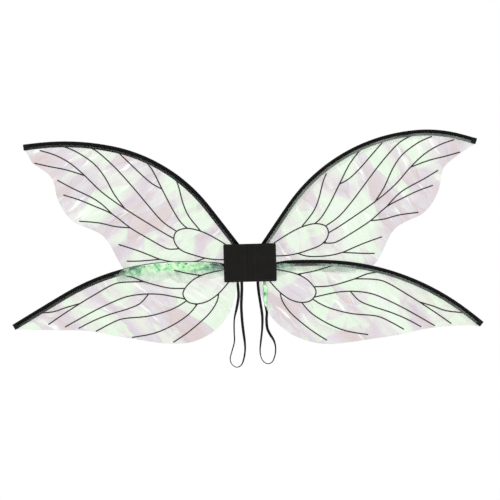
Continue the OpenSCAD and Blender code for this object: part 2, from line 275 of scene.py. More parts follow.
def pad_cloth_finish():
    finish = Finish("pad_cloth", Specular_IOR_Level=0.08, Sheen_Weight=0.02, Sheen_Roughness=0.6)
    black = chosen().pad.black
    weave = weave_height(finish, 330.0)
    dust = finish.noise(55.0, 4.0)
    lighter = (black[0] * 2.1, black[1] * 2.1, black[2] * 2.05, 1.0)
    paleness = weave * 0.55 + finish.range(dust, 0.35, 0.75) * 0.5
    finish.feed("Base Color", finish.mix(paleness, tuple(black), lighter))
    finish.feed("Roughness", finish.range(dust, 0.3, 0.7, 0.82, 0.95))
    finish.bump(weave + dust * 0.4, 0.00025)
    return finish.material


def elastic_finish():
    finish = Finish("ribbed_elastic", Specular_IOR_Level=0.08, Sheen_Weight=0.02)
    wefts = finish.wave(520.0, "Z")
    fuzz = finish.noise(900.0, 2.0)
    finish.feed("Base Color", finish.mix(wefts, (0.006, 0.006, 0.0065, 1), (0.02, 0.02, 0.021, 1)))
    finish.feed("Roughness", finish.range(fuzz, 0.3, 0.7, 0.7, 0.92))
    finish.bump(wefts + fuzz * 0.5, 0.00018)
    return finish.material


def webbing_finish():
    finish = Finish("black_webbing", Specular_IOR_Level=0.2, Sheen_Weight=0.15)
    twill = finish.wave(420.0, "DIAGONAL")
    fuzz = finish.noise(700.0, 2.0)
    finish.feed("Base Color", finish.mix(twill, (0.012, 0.012, 0.012, 1), (0.035, 0.035, 0.035, 1)))
    finish.feed("Roughness", finish.range(fuzz, 0.3, 0.7, 0.75, 0.95))
    finish.bump(twill + fuzz * 0.3, 0.0003)
    return finish.material


def thread_finish():
    finish = Finish("black_thread", Specular_IOR_Level=0.3)
    twist = finish.wave(900.0, "DIAGONAL")
    finish.feed("Base Color", finish.mix(twist, (0.012, 0.012, 0.012, 1), (0.04, 0.04, 0.04, 1)))
    finish.feed("Roughness", finish.range(twist, 0.0, 1.0, 0.5, 0.7))
    return finish.material


def foam_finish():
    finish = Finish("grey_foam", Specular_IOR_Level=0.2)
    pores = finish.cells(900.0)
    # Painted shade: the foam's colour is darker in its pores, where the bump sinks.
    finish.feed("Base Color", finish.mix(pores, (0.05, 0.05, 0.05, 1), (0.14, 0.14, 0.14, 1)))
    finish.feed("Roughness", finish.range(pores, 0.0, 1.0, 0.85, 0.98))
    finish.bump(pores, 0.0004)
    return finish.material


def board_finish():
    finish = Finish("pressed_board", Specular_IOR_Level=0.3)
    fibres = finish.noise(120.0, 5.0, finish.mapped(scale=(1, 1, 6)))
    finish.feed("Base Color", finish.mix(fibres, (0.30, 0.22, 0.14, 1), (0.52, 0.42, 0.29, 1)))
    finish.feed("Roughness", finish.range(fibres, 0.3, 0.7, 0.65, 0.85))
    finish.bump(fibres, 0.0002)
    return finish.material


def steel_finish(name, base):
    finish = Finish(name, Metallic=1.0)
    drawn = finish.noise(400.0, 3.0, finish.mapped(scale=(1, 1, 12)))
    finish.feed("Base Color", finish.mix(drawn, grey(base * 0.8), grey(base)))
    finish.feed("Roughness", finish.range(drawn, 0.3, 0.7, 0.22, 0.42))
    finish.bump(drawn, 0.00003)
    return finish.material


def sleeve_finish():
    finish = Finish("black_sleeve", Specular_IOR_Level=0.08)
    scuffs = finish.noise(160.0, 4.0)
    grain = finish.noise(1400.0, 2.0)
    finish.feed("Base Color", finish.mix(scuffs, (0.0015, 0.0015, 0.0015, 1), (0.0055, 0.0055, 0.0055, 1)))
    finish.feed("Roughness", finish.range(scuffs, 0.3, 0.7, 0.38, 0.6))
    finish.bump(grain + scuffs * 2.0, 0.00006)
    return finish.material


def tape_finish():
    finish = Finish("hem_tape", Specular_IOR_Level=0.1)
    weave = weave_height(finish, 1300.0)
    finish.feed("Base Color", finish.mix(weave, (0.010, 0.0115, 0.0105, 1), (0.026, 0.031, 0.028, 1)))
    finish.feed("Roughness", finish.range(weave, 0.0, 1.0, 0.7, 0.9))
    finish.bump(weave, 0.0001)
    return finish.material


def tip_finish():
    finish = Finish("tip_tape", Specular_IOR_Level=0.1)
    weave = weave_height(finish, 500.0)
    wear = finish.noise(220.0, 4.0)
    finish.feed("Base Color", finish.mix(wear, (0.005, 0.005, 0.005, 1), (0.016, 0.016, 0.016, 1)))
    finish.feed("Roughness", finish.range(wear, 0.3, 0.7, 0.5, 0.75))
    finish.bump(weave * 0.6 + wear, 0.0001)
    return finish.material


def vein_finish():
    finish = Finish("vein_ink", Specular_IOR_Level=0.3)
    ink = finish.noise(240.0, 4.0)
    finish.feed("Base Color", finish.mix(ink, (0.012, 0.009, 0.008, 1), (0.032, 0.024, 0.02, 1)))
    finish.feed("Roughness", finish.range(ink, 0.3, 0.7, 0.35, 0.6))
    finish.bump(ink, 0.0001)
    return finish.material


def film_finish(name, turn, pinkness, drift_across):
    """Clear film whose tint drifts in bands and facets, with painted highlights along its streaks. turn is the
    way its streaks run.
    """
    finish = Finish(name, IOR=1.45, Specular_IOR_Level=0.5, Coat_Roughness=0.1,
                    Thin_Film_Thickness=420.0, Thin_Film_IOR=1.6)
    film = chosen().film
    swirl = finish.noise(14.0, 3.0, output=1)
    drift = finish.node("VectorMath", {"operation": "SCALE"}, {0: swirl, "Scale": 0.03})
    warped = finish.node("VectorMath", {"operation": "ADD"}, {0: finish.place, 1: drift})
    bands = finish.noise(2.4, 3.0, finish.mapped(turn, (2.2, 3.0, 7.0), warped), Distortion=0.5)
    facet_place = finish.mapped(turn, (9.0, 9.0, 26.0), warped)
    facet = finish.node("SeparateColor", None, {0: finish.cells(1.0, place=facet_place, output="Color")})
    crossing = finish.mapped(turn + 1.25, (10.0, 10.0, 34.0), warped)
    cross_facet = finish.node("SeparateColor", None, {0: finish.cells(1.0, place=crossing, output="Color")})
    streak_place = finish.mapped(turn, (7.0, 8.0, 46.0), warped)
    streaks = finish.noise(2.1, 2.0, streak_place)
    across = finish.node("SeparateXYZ", None, {0: finish.place})
    tone = bands * 0.74 + facet * 0.15 + cross_facet * 0.11 + across * drift_across - pinkness
    tint = finish.ramp(tone, [
        (0.34, tuple(film.pink)),
        (0.42, tuple(film.lilac)),
        (0.48, (0.66, 0.62, 0.58, 1)),
        (0.55, tuple(film.mint)),
        (0.63, (0.70, 0.78, 0.66, 1)),
        (0.71, (0.56, 0.48, 0.48, 1)),
    ])
    # Painted highlight: where the streaks run high, the film's colour is mixed towards white and its alpha is
    # raised.
    painted_highlight = finish.range(streaks, 0.58, 0.70)
    finish.feed("Base Color", finish.mix(painted_highlight, tint, (0.96, 0.97, 0.94, 1)))
    creases = finish.cells(1.0, "DISTANCE_TO_EDGE", facet_place)
    fold = finish.range(creases, 0.0, 0.05, 1.0, 0.0)
    dark_streak = finish.range(streaks, 0.42, 0.30)
    finish.feed("Alpha", finish.range(bands, 0.3, 0.7, 0.34, 0.24) + painted_highlight * 0.2 + fold * 0.06
                + dark_streak * 0.05 + cross_facet * 0.05)
    finish.feed("Roughness", finish.range(streaks, 0.3, 0.7, 0.16, 0.34))
    finish.feed("Coat Weight", finish.range(facet, 0.0, 1.0, 0.1, 0.4))
    fine = finish.noise(150.0, 3.0, warped)
    finish.bump(fold * 0.6 + fine * 0.5 + streaks, 0.0004)
    return finish.material


def hem_finish(name, painted_reflection):
    """The film's folded edge, with painted reflections in its colour. Its mesh says how gathered it is and how
    far from the sleeve.
    """
    finish = Finish(name, IOR=1.45, Specular_IOR_Level=0.6, Coat_Roughness=0.06,
                    Thin_Film_Thickness=520.0, Thin_Film_IOR=1.7)
    gather = finish.node("Attribute", {"attribute_name": "gather"}, output="Fac")
    reach = finish.node("Attribute", {"attribute_name": "reach"}, output="Fac")
    crumple = finish.noise(48.0, 2.5, Distortion=1.6)
    ripple = finish.noise(120.0, 2.0, Distortion=0.6)
    drift = finish.noise(21.0, 2.0)
    tone = crumple * 0.5 + ripple * 0.18 + drift * 0.32 + gather * 0.26 - 0.21
    # Painted reflection and tint: the near ramp, dark teal to pale mint, stands for green glints on the crumpled
    # film together with its own green tint; the far ramp does the same, greyer, beyond the tape.
    near = finish.ramp(tone, [
        (0.36, (0.012, 0.085, 0.055, 1)),
        (0.42, (0.04, 0.28, 0.17, 1)),
        (0.47, (0.24, 0.66, 0.32, 1)),
        (0.52, (0.56, 0.92, 0.50, 1)),
        (0.60, (0.82, 0.95, 0.76, 1)),
    ])
    far = finish.ramp(tone, [
        (0.36, (0.30, 0.33, 0.28, 1)),
        (0.48, (0.62, 0.72, 0.58, 1)),
        (0.60, (0.80, 0.90, 0.76, 1)),
    ])
    outer = finish.range(reach, 0.42, 0.68)
    # Painted reflection: where the hem is not gathered, its colour is pale grey, shown over the dark tape at the
    # alpha given for each wing.
    finish.feed("Base Color", finish.mix(gather, (0.60, 0.64, 0.58, 1), finish.mix(outer, near, far)))
    solid = finish.range(tone, 0.38, 0.52, 0.62, 0.93)
    airy = finish.range(tone, 0.40, 0.58, 0.16, 0.55)
    gathered_alpha = finish.range(outer, 0.0, 1.0) * (airy - solid) + solid
    plain_alpha = finish.range(drift, 0.40, 0.60, painted_reflection * 0.5, painted_reflection)
    finish.feed("Alpha", gather * (gathered_alpha - plain_alpha) + plain_alpha)
    finish.feed("Roughness", finish.range(crumple, 0.3, 0.7, 0.12, 0.3))
    finish.feed("Coat Weight", finish.range(crumple, 0.5, 0.7, 0.0, 0.5))
    finish.bump(crumple + ripple * 0.3, 0.0008)
    return finish.material


# ---------------------------------------------------------------- shaping helpers

def cad_copy(node):
    """A merged copy of a CAD node's mesh."""
    bm = bmesh.new()
    bm.from_mesh(frame["nodes"][node].data)
    bmesh.ops.remove_doubles(bm, verts=bm.verts, dist=MERGE)
    return bm


def front_face(node):
    """The flat front of a CAD node, as few faces as it takes."""
    bm = cad_copy(node)
    bm.normal_update()
    away = [face for face in bm.faces if face.normal.dot(TOWARDS_CAMERA) < 0.99]
    bmesh.ops.delete(bm, geom=away, context="FACES")
    bmesh.ops.dissolve_limit(bm, angle_limit=math.radians(0.5), use_dissolve_boundaries=False,
                             verts=bm.verts, edges=bm.edges)
    return bm


def cut_grid(bm, step, axes=(0, 2)):
    """Cuts a sheet along evenly spaced planes, so that it can bend."""
    for axis in axes:
        low = min(vert.co[axis] for vert in bm.verts)
        high = max(vert.co[axis] for vert in bm.verts)
        normal = Vector((0, 0, 0))
        normal[axis] = 1
        for i in range(math.ceil(low / step), math.floor(high / step) + 1):
            bmesh.ops.bisect_plane(bm, geom=bm.verts[:] + bm.edges[:] + bm.faces[:],
                                   plane_co=normal * (i * step), plane_no=normal, dist=MERGE)


def face_the_camera(bm):
    bm.normal_update()
    wrong = [face for face in bm.faces if face.normal.dot(TOWARDS_CAMERA) < 0]
    bmesh.ops.reverse_faces(bm, faces=wrong)


def make_piece(name, bm, body, material, smooth=True):
    """Turns a finished bmesh into a piece that rides on a body."""
    mesh = bpy.data.meshes.new(name)
    bm.to_mesh(mesh)
    bm.free()
    if smooth:
        mesh.shade_smooth()
    piece = bpy.data.objects.new(name, mesh)
    bpy.context.scene.collection.objects.link(piece)
    mesh.materials.append(material)
    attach(piece, body)
    return piece


def keep_angles(piece, degrees=35):
    """Shades a piece smooth except across edges sharper than the angle."""
    piece.data.shade_smooth()
    piece.data.set_sharp_from_angle(angle=math.radians(degrees))


def soft_step(value, low, high):
    share = min(1.0, max(0.0, (value - low) / (high - low)))
    return share * share * (3 - 2 * share)


def body_of(side):
    return side + "_side"


def surface_of(node):
    return BVHTree.FromBMesh(cad_copy(node))


# ---------------------------------------------------------------- the film's shape

class WingShape:
    """How one wing's film bellies and creases, so that its veins can follow it."""

    STREAK_TURN = {"upper": math.radians(38), "lower": math.radians(-18)}

    def __init__(self, side, level):
        self.level = level
        self.seed = WINGS.index((side, level)) * 7.3 + 1.7
        self.out = -1 if side == "left" else 1
        self.spar = surface_of(f"{side}_{level}_tape")
        turn = self.STREAK_TURN[level]
        self.along = Vector((self.out * math.cos(turn), 0, math.sin(turn)))
        self.across = Vector((-self.out * math.sin(turn), 0, math.cos(turn)))
        self.film = chosen().film

    def lift(self, point):
        """How far the film is pushed back (+Y) at a point of the flat film."""
        reach = self.spar.find_nearest(point)[3]
        free = soft_step(reach, 0.0, 0.055)
        spot = Vector((point.x, self.seed, point.z))
        belly = noise.noise(Vector((spot.x * 11, self.seed, spot.z * 11))) * free
        u, v = point.dot(self.along), point.dot(self.across)
        streak = noise.noise(Vector((u * 9, v * 62, self.seed))) * (0.35 + 0.65 * free)
        near, far = noise.voronoi(Vector((u * 17, v * 30, self.seed)))[0][:2]
        fold = (0.35 - min(0.35, far - near)) * 2 * (0.3 + 0.7 * free)
        push = self.film.billow * belly + self.film.crease * (0.8 * streak - 0.7 * fold)
        return self.clear_of_other_wing(point, push)

    def clear_of_other_wing(self, point, push):
        """Near the other wing's layer the film only moves away from it."""
        if self.level == "upper":
            near = 1 - soft_step(point.z, 0.008, 0.035)
            return push * (1 - near) + abs(push) * 0.7 * near
        near = soft_step(point.z, -0.06, -0.03)
        return push * (1 - near) - abs(push) * 0.6 * near


def lay_on(bm, shape, level_y):
    for vert in bm.verts:
        vert.co.y = level_y + shape.lift(vert.co)


def middle_y(node):
    low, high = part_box(node)
    return (low.y + high.y) / 2


class WINGS_OT_films(bpy.types.Operator):
    """Builds the four films, creased and bellied, from the outlines in the frame"""
    bl_idname = "wings.films"
    bl_label = "Films"

    TURNS = {("left", "upper"): 0.62, ("left", "lower"): -0.65,
             ("right", "upper"): -1.05, ("right", "lower"): -0.85}
    # How pink a film is at the middle of the back, and how its tint drifts per metre to the right
    PINKNESS = {("left", "upper"): -0.042, ("left", "lower"): -0.02,
                ("right", "upper"): -0.032, ("right", "lower"): 0.045}
    DRIFT = {("left", "upper"): 0.35, ("left", "lower"): 0.2,
             ("right", "upper"): -0.1, ("right", "lower"): 0.25}

    def execute(self, context):
        film = chosen().film
        for side, level in WINGS:
            node = f"{side}_{level}_film"
            bm = front_face(node)
            area = sum(face.calc_area() for face in bm.faces)
            cut_grid(bm, film.grain)
            shape = WingShape(side, level)
            lay_on(bm, shape, middle_y(node) - film.thickness / 2)
            face_the_camera(bm)
            bmesh.ops.solidify(bm, geom=bm.faces[:], thickness=film.thickness)
            bmesh.ops.recalc_face_normals(bm, faces=bm.faces)
            material = film_finish(f"{side}_{level}_iridescent", self.TURNS[side, level],
                                   self.PINKNESS[side, level], self.DRIFT[side, level])
            piece = make_piece(f"{side}_{level}_film_sheet", bm, body_of(side), material)
            piece["flat_area"] = area
            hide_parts(node)
        return {"FINISHED"}


class WINGS_OT_sheets(bpy.types.Operator):
    """Takes the flat area that the films step noted back off each film sheet"""
    bl_idname = "wings.sheets"
    bl_label = "Declare sheets"

    def execute(self, context):
        for side, level in WINGS:
            name = f"{side}_{level}"
            piece = bpy.data.objects[name + "_film_sheet"]
            del piece["flat_area"]
        return {"FINISHED"}


class WINGS_OT_veins(bpy.types.Operator):
    """Raises the vein lines on the films"""
    bl_idname = "wings.veins"
    bl_label = "Veins"

    SUNK = 0.12 * MM
    SHOULDER = 0.45 * MM

    def execute(self, context):
        settings = chosen()
        material = vein_finish()
        for side, level in WINGS:
            bm = front_face(f"{side}_{level}_veins")
            cut_grid(bm, settings.film.grain)
            shape = WingShape(side, level)
            front = middle_y(f"{side}_{level}_film") - settings.film.thickness
            lay_on(bm, shape, front + self.SUNK)
            face_the_camera(bm)
            self.raise_lines(bm, settings.edge.vein_height)
            piece = make_piece(f"{side}_{level}_vein_lines", bm, body_of(side), material)
            keep_angles(piece, 50)
            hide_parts(f"{side}_{level}_veins")
        return {"FINISHED"}

    def raise_lines(self, bm, height):
        top = bm.faces[:]
        raised = bmesh.ops.extrude_face_region(bm, geom=top, use_keep_orig=True)["geom"]
        verts = [item for item in raised if isinstance(item, bmesh.types.BMVert)]
        bmesh.ops.translate(bm, verts=verts, vec=TOWARDS_CAMERA * (height + self.SUNK) * 0.6)
        faces = [item for item in raised if isinstance(item, bmesh.types.BMFace)]
        bmesh.ops.inset_region(bm, faces=faces, thickness=self.SHOULDER, depth=height * 0.4,
                               use_boundary=True, use_even_offset=True)
        bmesh.ops.recalc_face_normals(bm, faces=bm.faces)


class WINGS_OT_sleeves(bpy.types.Operator):
    """Builds the black sleeves over the wires, round and slightly uneven"""
    bl_idname = "wings.sleeves"
    bl_label = "Sleeves"

    END_ANGLE = math.radians(75)
    # Rounding draws the tube in by this much, so it is made larger first
    SHRINK = 0.3 * MM

    def execute(self, context):
        material = sleeve_finish()
        for side, level in WINGS:
            node = f"{side}_{level}_sleeve"
            bm = cad_copy(node)
            bmesh.ops.join_triangles(bm, faces=bm.faces, angle_face_threshold=math.radians(40),
                                     angle_shape_threshold=math.radians(60))
            bmesh.ops.recalc_face_normals(bm, faces=bm.faces)
            bm.normal_update()
            for vert in bm.verts:
                vert.co += vert.normal * self.SHRINK
            sharpness = bm.edges.layers.float.new("crease_edge")
            for edge in bm.edges:
                edge[sharpness] = 1.0 if edge.calc_face_angle(0) > self.END_ANGLE else 0.0
            piece = make_piece(f"{side}_{level}_sleeve_tube", bm, body_of(side), material)
            self.round_off(piece)
            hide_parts(node)
        return {"FINISHED"}

    def round_off(self, piece):
        rounding = piece.modifiers.new("Round", "SUBSURF")
        rounding.levels = 1
        rounding.render_levels = 1


def join_meshes(parts):
    """One bmesh of several, with their vertex attributes."""
    bm = bmesh.new()
    for part in parts:
        mesh = bpy.data.meshes.new("part")
        part.to_mesh(mesh)
        part.free()
        bm.from_mesh(mesh)
        bpy.data.meshes.remove(mesh)
    return bm


def crumple(spot):
    """Sharp-ridged unevenness of gathered film, from about -0.5 to 0.5."""
    ridged = 1 - 2 * abs(noise.noise(spot * 62))
    return 0.55 * (ridged - 0.7) + 0.4 * noise.noise(spot * 130) + 0.15 * noise.noise(spot * 300)


class WINGS_OT_hems(bpy.types.Operator):
    """Folds the film's edge over the tape, crumpled at the roots of the lower wings"""
    bl_idname = "wings.hems"
    bl_label = "Hems"

    STEP = 1.5 * MM
    FINE_STEP = 0.5 * MM
    LAYER = 0.12 * MM
    AIR = 0.06 * MM
    OVER_SLEEVE = 0.9 * MM
    BEHIND = 2 * MM
    # How strongly a painted reflection greys the film where it covers the tape
    PAINTED_REFLECTION = {
        ("left", "upper"): 0.02,
        ("left", "lower"): 0.035,
        ("right", "upper"): 0.17,
        ("right", "lower"): 0.09,
    }
    # Where a lower wing's hem is gathered: from and to in metres, and how much
    GATHERS = {
        "left": [(0.040, 0.262, 1.0)],
        "right": [(0.026, 0.088, 0.48), (0.130, 0.206, 0.33)],
    }

    def execute(self, context):
        for side, level in WINGS:
            material = hem_finish(f"{side}_{level}_hem_film", self.PAINTED_REFLECTION[side, level])
            bm = join_meshes([self.flap(side, level, front) for front in (True, False)])
            piece = make_piece(f"{side}_{level}_hem", bm, body_of(side), material)
            piece.data.shade_smooth()
        return {"FINISHED"}

    def gather(self, side, level, x):
        """How crumpled the hem is at a place, from 0 to 1."""
        if level == "upper":
            return 0.0
        most = 0.0
        for start, end, amount in self.GATHERS[side]:
            share = (abs(x) - start) / (end - start)
            if 0 < share < 1:
                most = max(most, amount * math.sin(math.pi * share) ** 0.45)
        return most

    def flap(self, side, level, front):
        edge = chosen().edge
        node = f"{side}_{level}_tape"
        bm = front_face(node)
        cut_grid(bm, self.STEP, axes=(0,))
        cut_grid(bm, self.FINE_STEP if level == "lower" and front else self.STEP, axes=(2,))
        gathers = bm.verts.layers.float.new("gather")
        reaches = bm.verts.layers.float.new("reach")
        sleeve = surface_of(f"{side}_{level}_sleeve")
        sleeve_low, sleeve_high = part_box(f"{side}_{level}_sleeve")
        sleeve_half = (sleeve_high.y - sleeve_low.y) / 2
        tape_low, tape_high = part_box(node)
        middle = (tape_low.y + tape_high.y) / 2
        tape_half = (tape_high.y - tape_low.y) / 2 + self.LAYER + self.AIR
        film_half = chosen().film.thickness / 2 + self.LAYER + self.AIR
        shape = WingShape(side, level)
        outwards = -1 if front else 1
        seed = WINGS.index((side, level)) * 3.1 + (0.5 if front else 9.5)
        for vert in bm.verts:
            near, _, _, distance = sleeve.find_nearest(Vector((vert.co.x, middle, vert.co.z)))
            away = Vector((vert.co.x - near.x, 0, vert.co.z - near.z)).normalized()
            gather = self.gather(side, level, near.x) if front else 0.0
            ragged = 1 + noise.noise(Vector((near.x * 48, seed, 0))) * (0.12 + 0.3 * gather)
            wide = (edge.hem_reach + (edge.gather_reach - edge.hem_reach) * gather) * ragged
            wide = wide if front else TAPE_WIDTH + self.BEHIND
            cover = SLEEVE_WIDTH * soft_step(gather, 0.35, 0.6)
            share = min(1.0, distance / TAPE_WIDTH)
            u = -cover + (cover + wide) * share
            spot = Vector((near.x + away.x * u, seed, near.z + away.z * u))
            over = max(0.0, 1 - (2 * u / SLEEVE_WIDTH + 1) ** 2) ** 0.5 * sleeve_half if u < 0 else 0.0
            depth = max(tape_half, over + self.OVER_SLEEVE * gather)
            depth += abs(noise.noise(spot * 90)) * 0.25 * MM
            fold = max(0.0, crumple(spot) + 0.35) * 2.6 * MM * gather
            beyond = soft_step(u, TAPE_WIDTH, TAPE_WIDTH + 9 * MM)
            depth += fold * soft_step(u, -0.8 * SLEEVE_WIDTH, 0.2 * SLEEVE_WIDTH) * (1 - beyond)
            depth += (film_half - depth) * beyond
            lift = shape.lift(Vector((spot.x, middle, spot.z))) * soft_step(u, 0, TAPE_WIDTH)
            vert.co = Vector((spot.x, middle + lift + outwards * depth, spot.z))
            vert[gathers] = gather
            vert[reaches] = max(0.0, (u + cover) / (cover + edge.gather_reach))
        face_the_camera(bm)
        if not front:
            bmesh.ops.reverse_faces(bm, faces=bm.faces)
        bmesh.ops.solidify(bm, geom=bm.faces[:], thickness=self.LAYER)
        bmesh.ops.recalc_face_normals(bm, faces=bm.faces)
        return bm


class WINGS_OT_root_fold(bpy.types.Operator):
    """Doubles the right lower film in a narrow fold in front of the strap"""
    bl_idname = "wings.root_fold"
    bl_label = "Root fold"

    STEP = 1.2 * MM
    TOP = -0.040
    BOTTOM = -0.092
    MIDDLE = 0.0275
    HALF = 5.5 * MM

    def execute(self, context):
        bm = front_face("right_lower_film")
        for place, normal in (((0, 0, self.BOTTOM), (0, 0, -1)), ((0, 0, self.TOP), (0, 0, 1)),
                              ((self.MIDDLE + self.HALF, 0, 0), (1, 0, 0.06))):
            bmesh.ops.bisect_plane(bm, geom=bm.verts[:] + bm.edges[:] + bm.faces[:],
                                   plane_co=place, plane_no=normal, clear_outer=True)
        cut_grid(bm, self.STEP)
        gathers = bm.verts.layers.float.new("gather")
        reaches = bm.verts.layers.float.new("reach")
        shape = WingShape("right", "lower")
        front = middle_y("right_lower_film") - chosen().film.thickness
        for vert in bm.verts:
            x, z = vert.co.x, vert.co.z
            wander = noise.noise(Vector((z * 60, 2.5, 0))) * 1.2 * MM
            aside = abs(x - self.MIDDLE - wander)
            full = 1 - soft_step(aside, 2.4 * MM, 4.6 * MM)
            full *= soft_step(z, self.BOTTOM, self.BOTTOM + 9 * MM)
            full *= 1 - soft_step(z, self.TOP - 5 * MM, self.TOP)
            vert[gathers] = full
            vert[reaches] = 0.1
            fold = max(0.0, crumple(Vector((x, 4.4, z))) + 0.4) * 1.5 * MM * full
            vert.co.y = front + shape.lift(Vector((x, front, z))) - 0.2 * MM - fold
        face_the_camera(bm)
        bmesh.ops.solidify(bm, geom=bm.faces[:], thickness=0.12 * MM)
        bmesh.ops.recalc_face_normals(bm, faces=bm.faces)
        make_piece("right_root_fold", bm, "right_side", hem_finish("root_fold_film", 0.1))
        return {"FINISHED"}


class WINGS_OT_tips(bpy.types.Operator):
    """Wraps the blunt wing tips in tape"""
    bl_idname = "wings.tips"
    bl_label = "Tips"

    WRAP = 9 * MM
    PUFF = 0.35 * MM

    def execute(self, context):
        material = tip_finish()
        for side, level in WINGS:
            node = f"{side}_{level}_tip"
            bm = cad_copy(node)
            bmesh.ops.dissolve_limit(bm, angle_limit=math.radians(1), verts=bm.verts, edges=bm.edges)
            self.draw_in(bm)
            bmesh.ops.bevel(bm, geom=bm.edges[:], offset=0.8 * MM, segments=3, affect="EDGES",
                            profile=0.5, material=-1)
            cut_grid(bm, 1.2 * MM)
            bmesh.ops.recalc_face_normals(bm, faces=bm.faces)
            bm.normal_update()
            for vert in bm.verts:
                vert.co += vert.normal * noise.noise(vert.co * 420) * 0.15 * MM
            piece = make_piece(f"{side}_{level}_tip_wrap", bm, body_of(side), material)
            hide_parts(node)
        return {"FINISHED"}

    def draw_in(self, bm):
        """Draws the wrap's inner end further over the sleeve and the tape."""
        middle = sum((vert.co for vert in bm.verts), Vector()) / len(bm.verts)
        ends = [face for face in bm.faces if abs(face.normal.y) < 0.5]
        inner = min(ends, key=lambda face: face.normal.x * math.copysign(1, middle.x))
        deep = abs((inner.calc_center_median() - middle).dot(inner.normal)) * 2
        bmesh.ops.translate(bm, verts=inner.verts[:], vec=inner.normal * (self.WRAP - deep))
        for vert in bm.verts:
            vert.co.y += math.copysign(self.PUFF, vert.co.y - middle.y)


# ---------------------------------------------------------------- the pad

class WINGS_OT_pad_fronts(bpy.types.Operator):
    """Stretches the woven cloth over the front of the pad, pressed in at the two creases"""
    bl_idname = "wings.pad_fronts"
    bl_label = "Pad fronts"

    CORNER = 2.4 * MM
    ROUND = 1.1 * MM
    GRID = 2.0 * MM
    CREASE_X = 5.5 * MM
    BORDER = 3.0 * MM

    def execute(self, context):
        material = pad_cloth_finish()
        for side in SIDES:
            bm, low, high = self.shell(side)
            self.press(bm, side, low, high)
            bmesh.ops.recalc_face_normals(bm, faces=bm.faces)
            face_out = [face for face in bm.faces if face.normal.dot(TOWARDS_CAMERA) < -0.9]
            if face_out:
                bmesh.ops.reverse_faces(bm, faces=bm.faces)
            bmesh.ops.solidify(bm, geom=bm.faces[:], thickness=chosen().pad.cloth)
            bmesh.ops.recalc_face_normals(bm, faces=bm.faces)
            piece = make_piece(f"{side}_front_cloth", bm, body_of(side), material)
            keep_angles(piece, 60)
            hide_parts(f"{side}_cover")
            self.hinge(piece, side, low)
        return {"FINISHED"}

    def shell(self, side):
        low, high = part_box(f"{side}_cover")
        if side == "left":
            high.x = 0.0
        else:
            low.x = 0.0
        bm = bmesh.new()
        bmesh.ops.create_cube(bm, size=1.0)
        bmesh.ops.scale(bm, verts=bm.verts, vec=high - low)
        bmesh.ops.translate(bm, verts=bm.verts, vec=(low + high) / 2)
        bm.normal_update()
        out = -1 if side == "left" else 1
        open_faces = [face for face in bm.faces
                      if face.normal.y > 0.5 or face.normal.x * out < -0.5]
        bmesh.ops.delete(bm, geom=open_faces, context="FACES")
        corners = [edge for edge in bm.edges
                   if abs((edge.verts[0].co - edge.verts[1].co).normalized().y) > 0.9
                   and edge.verts[0].co.x * out > abs(low.x + high.x) / 2]
        bmesh.ops.bevel(bm, geom=corners, offset=self.CORNER, segments=5, affect="EDGES",
                        profile=0.5, material=-1)
        front = [edge for edge in bm.edges if not edge.is_boundary
                 and all(abs(vert.co.y - low.y) < MERGE for vert in edge.verts)]
        bmesh.ops.bevel(bm, geom=front, offset=self.ROUND, segments=3, affect="EDGES",
                        profile=0.5, material=-1)
        cut_grid(bm, self.GRID)
        return bm, low, high

    def press(self, bm, side, low, high):
        """Creases, border and the soft unevenness of cloth over board."""
        for vert in bm.verts:
            x, z = vert.co.x, vert.co.z
            front = soft_step(-vert.co.y, -high.y, -low.y)
            edge = min(abs(x - (low.x if side == "left" else high.x)), z - low.z, high.z - z)
            border = 1 - soft_step(edge, self.BORDER - 0.6 * MM, self.BORDER + 0.6 * MM)
            gap = (abs(x) - self.CREASE_X) / MM
            crease = math.exp(-gap * gap * 1.4)
            channel = 1 - soft_step(abs(x), 3.5 * MM, 5.0 * MM)
            spot = Vector((x * 45, 3.0, z * 22))
            uneven = noise.noise(spot) * 0.45 + noise.noise(spot * 3.1) * 0.16
            pull = noise.noise(Vector((x * 190, 8.0, z * 16))) * 0.22 * math.exp(-abs(gap) / 5)
            depth = (0.35 * border - 0.9 * crease + 0.15 * channel + uneven * (1 - border) + pull) * MM
            vert.co.y -= depth * front

    def hinge(self, piece, side, low):
        piece.parent = None
        del piece["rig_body"]
        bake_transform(piece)


def swell(piece, cap, pressure=4.0):
    """Fills a closed piece like a cushion, and lets no point move further than cap."""
    scene = bpy.context.scene
    rest = [vert.co.copy() for vert in piece.data.vertices]
    cloth = piece.modifiers.new("Fill", "CLOTH")
    cloth.settings.use_pressure = True
    cloth.settings.uniform_pressure_force = pressure
    cloth.settings.effector_weights.gravity = 0.0
    cloth.settings.quality = 4
    for number in range(1, 21):
        scene.frame_set(number)
    evaluated = piece.evaluated_get(bpy.context.evaluated_depsgraph_get())
    blown = [vert.co.copy() for vert in evaluated.data.vertices]
    piece.modifiers.remove(cloth)
    scene.frame_set(1)
    for vert, old, new in zip(piece.data.vertices, rest, blown):
        move = new - old
        if move.length > cap:
            move = move * (cap / move.length)
        vert.co = old + move


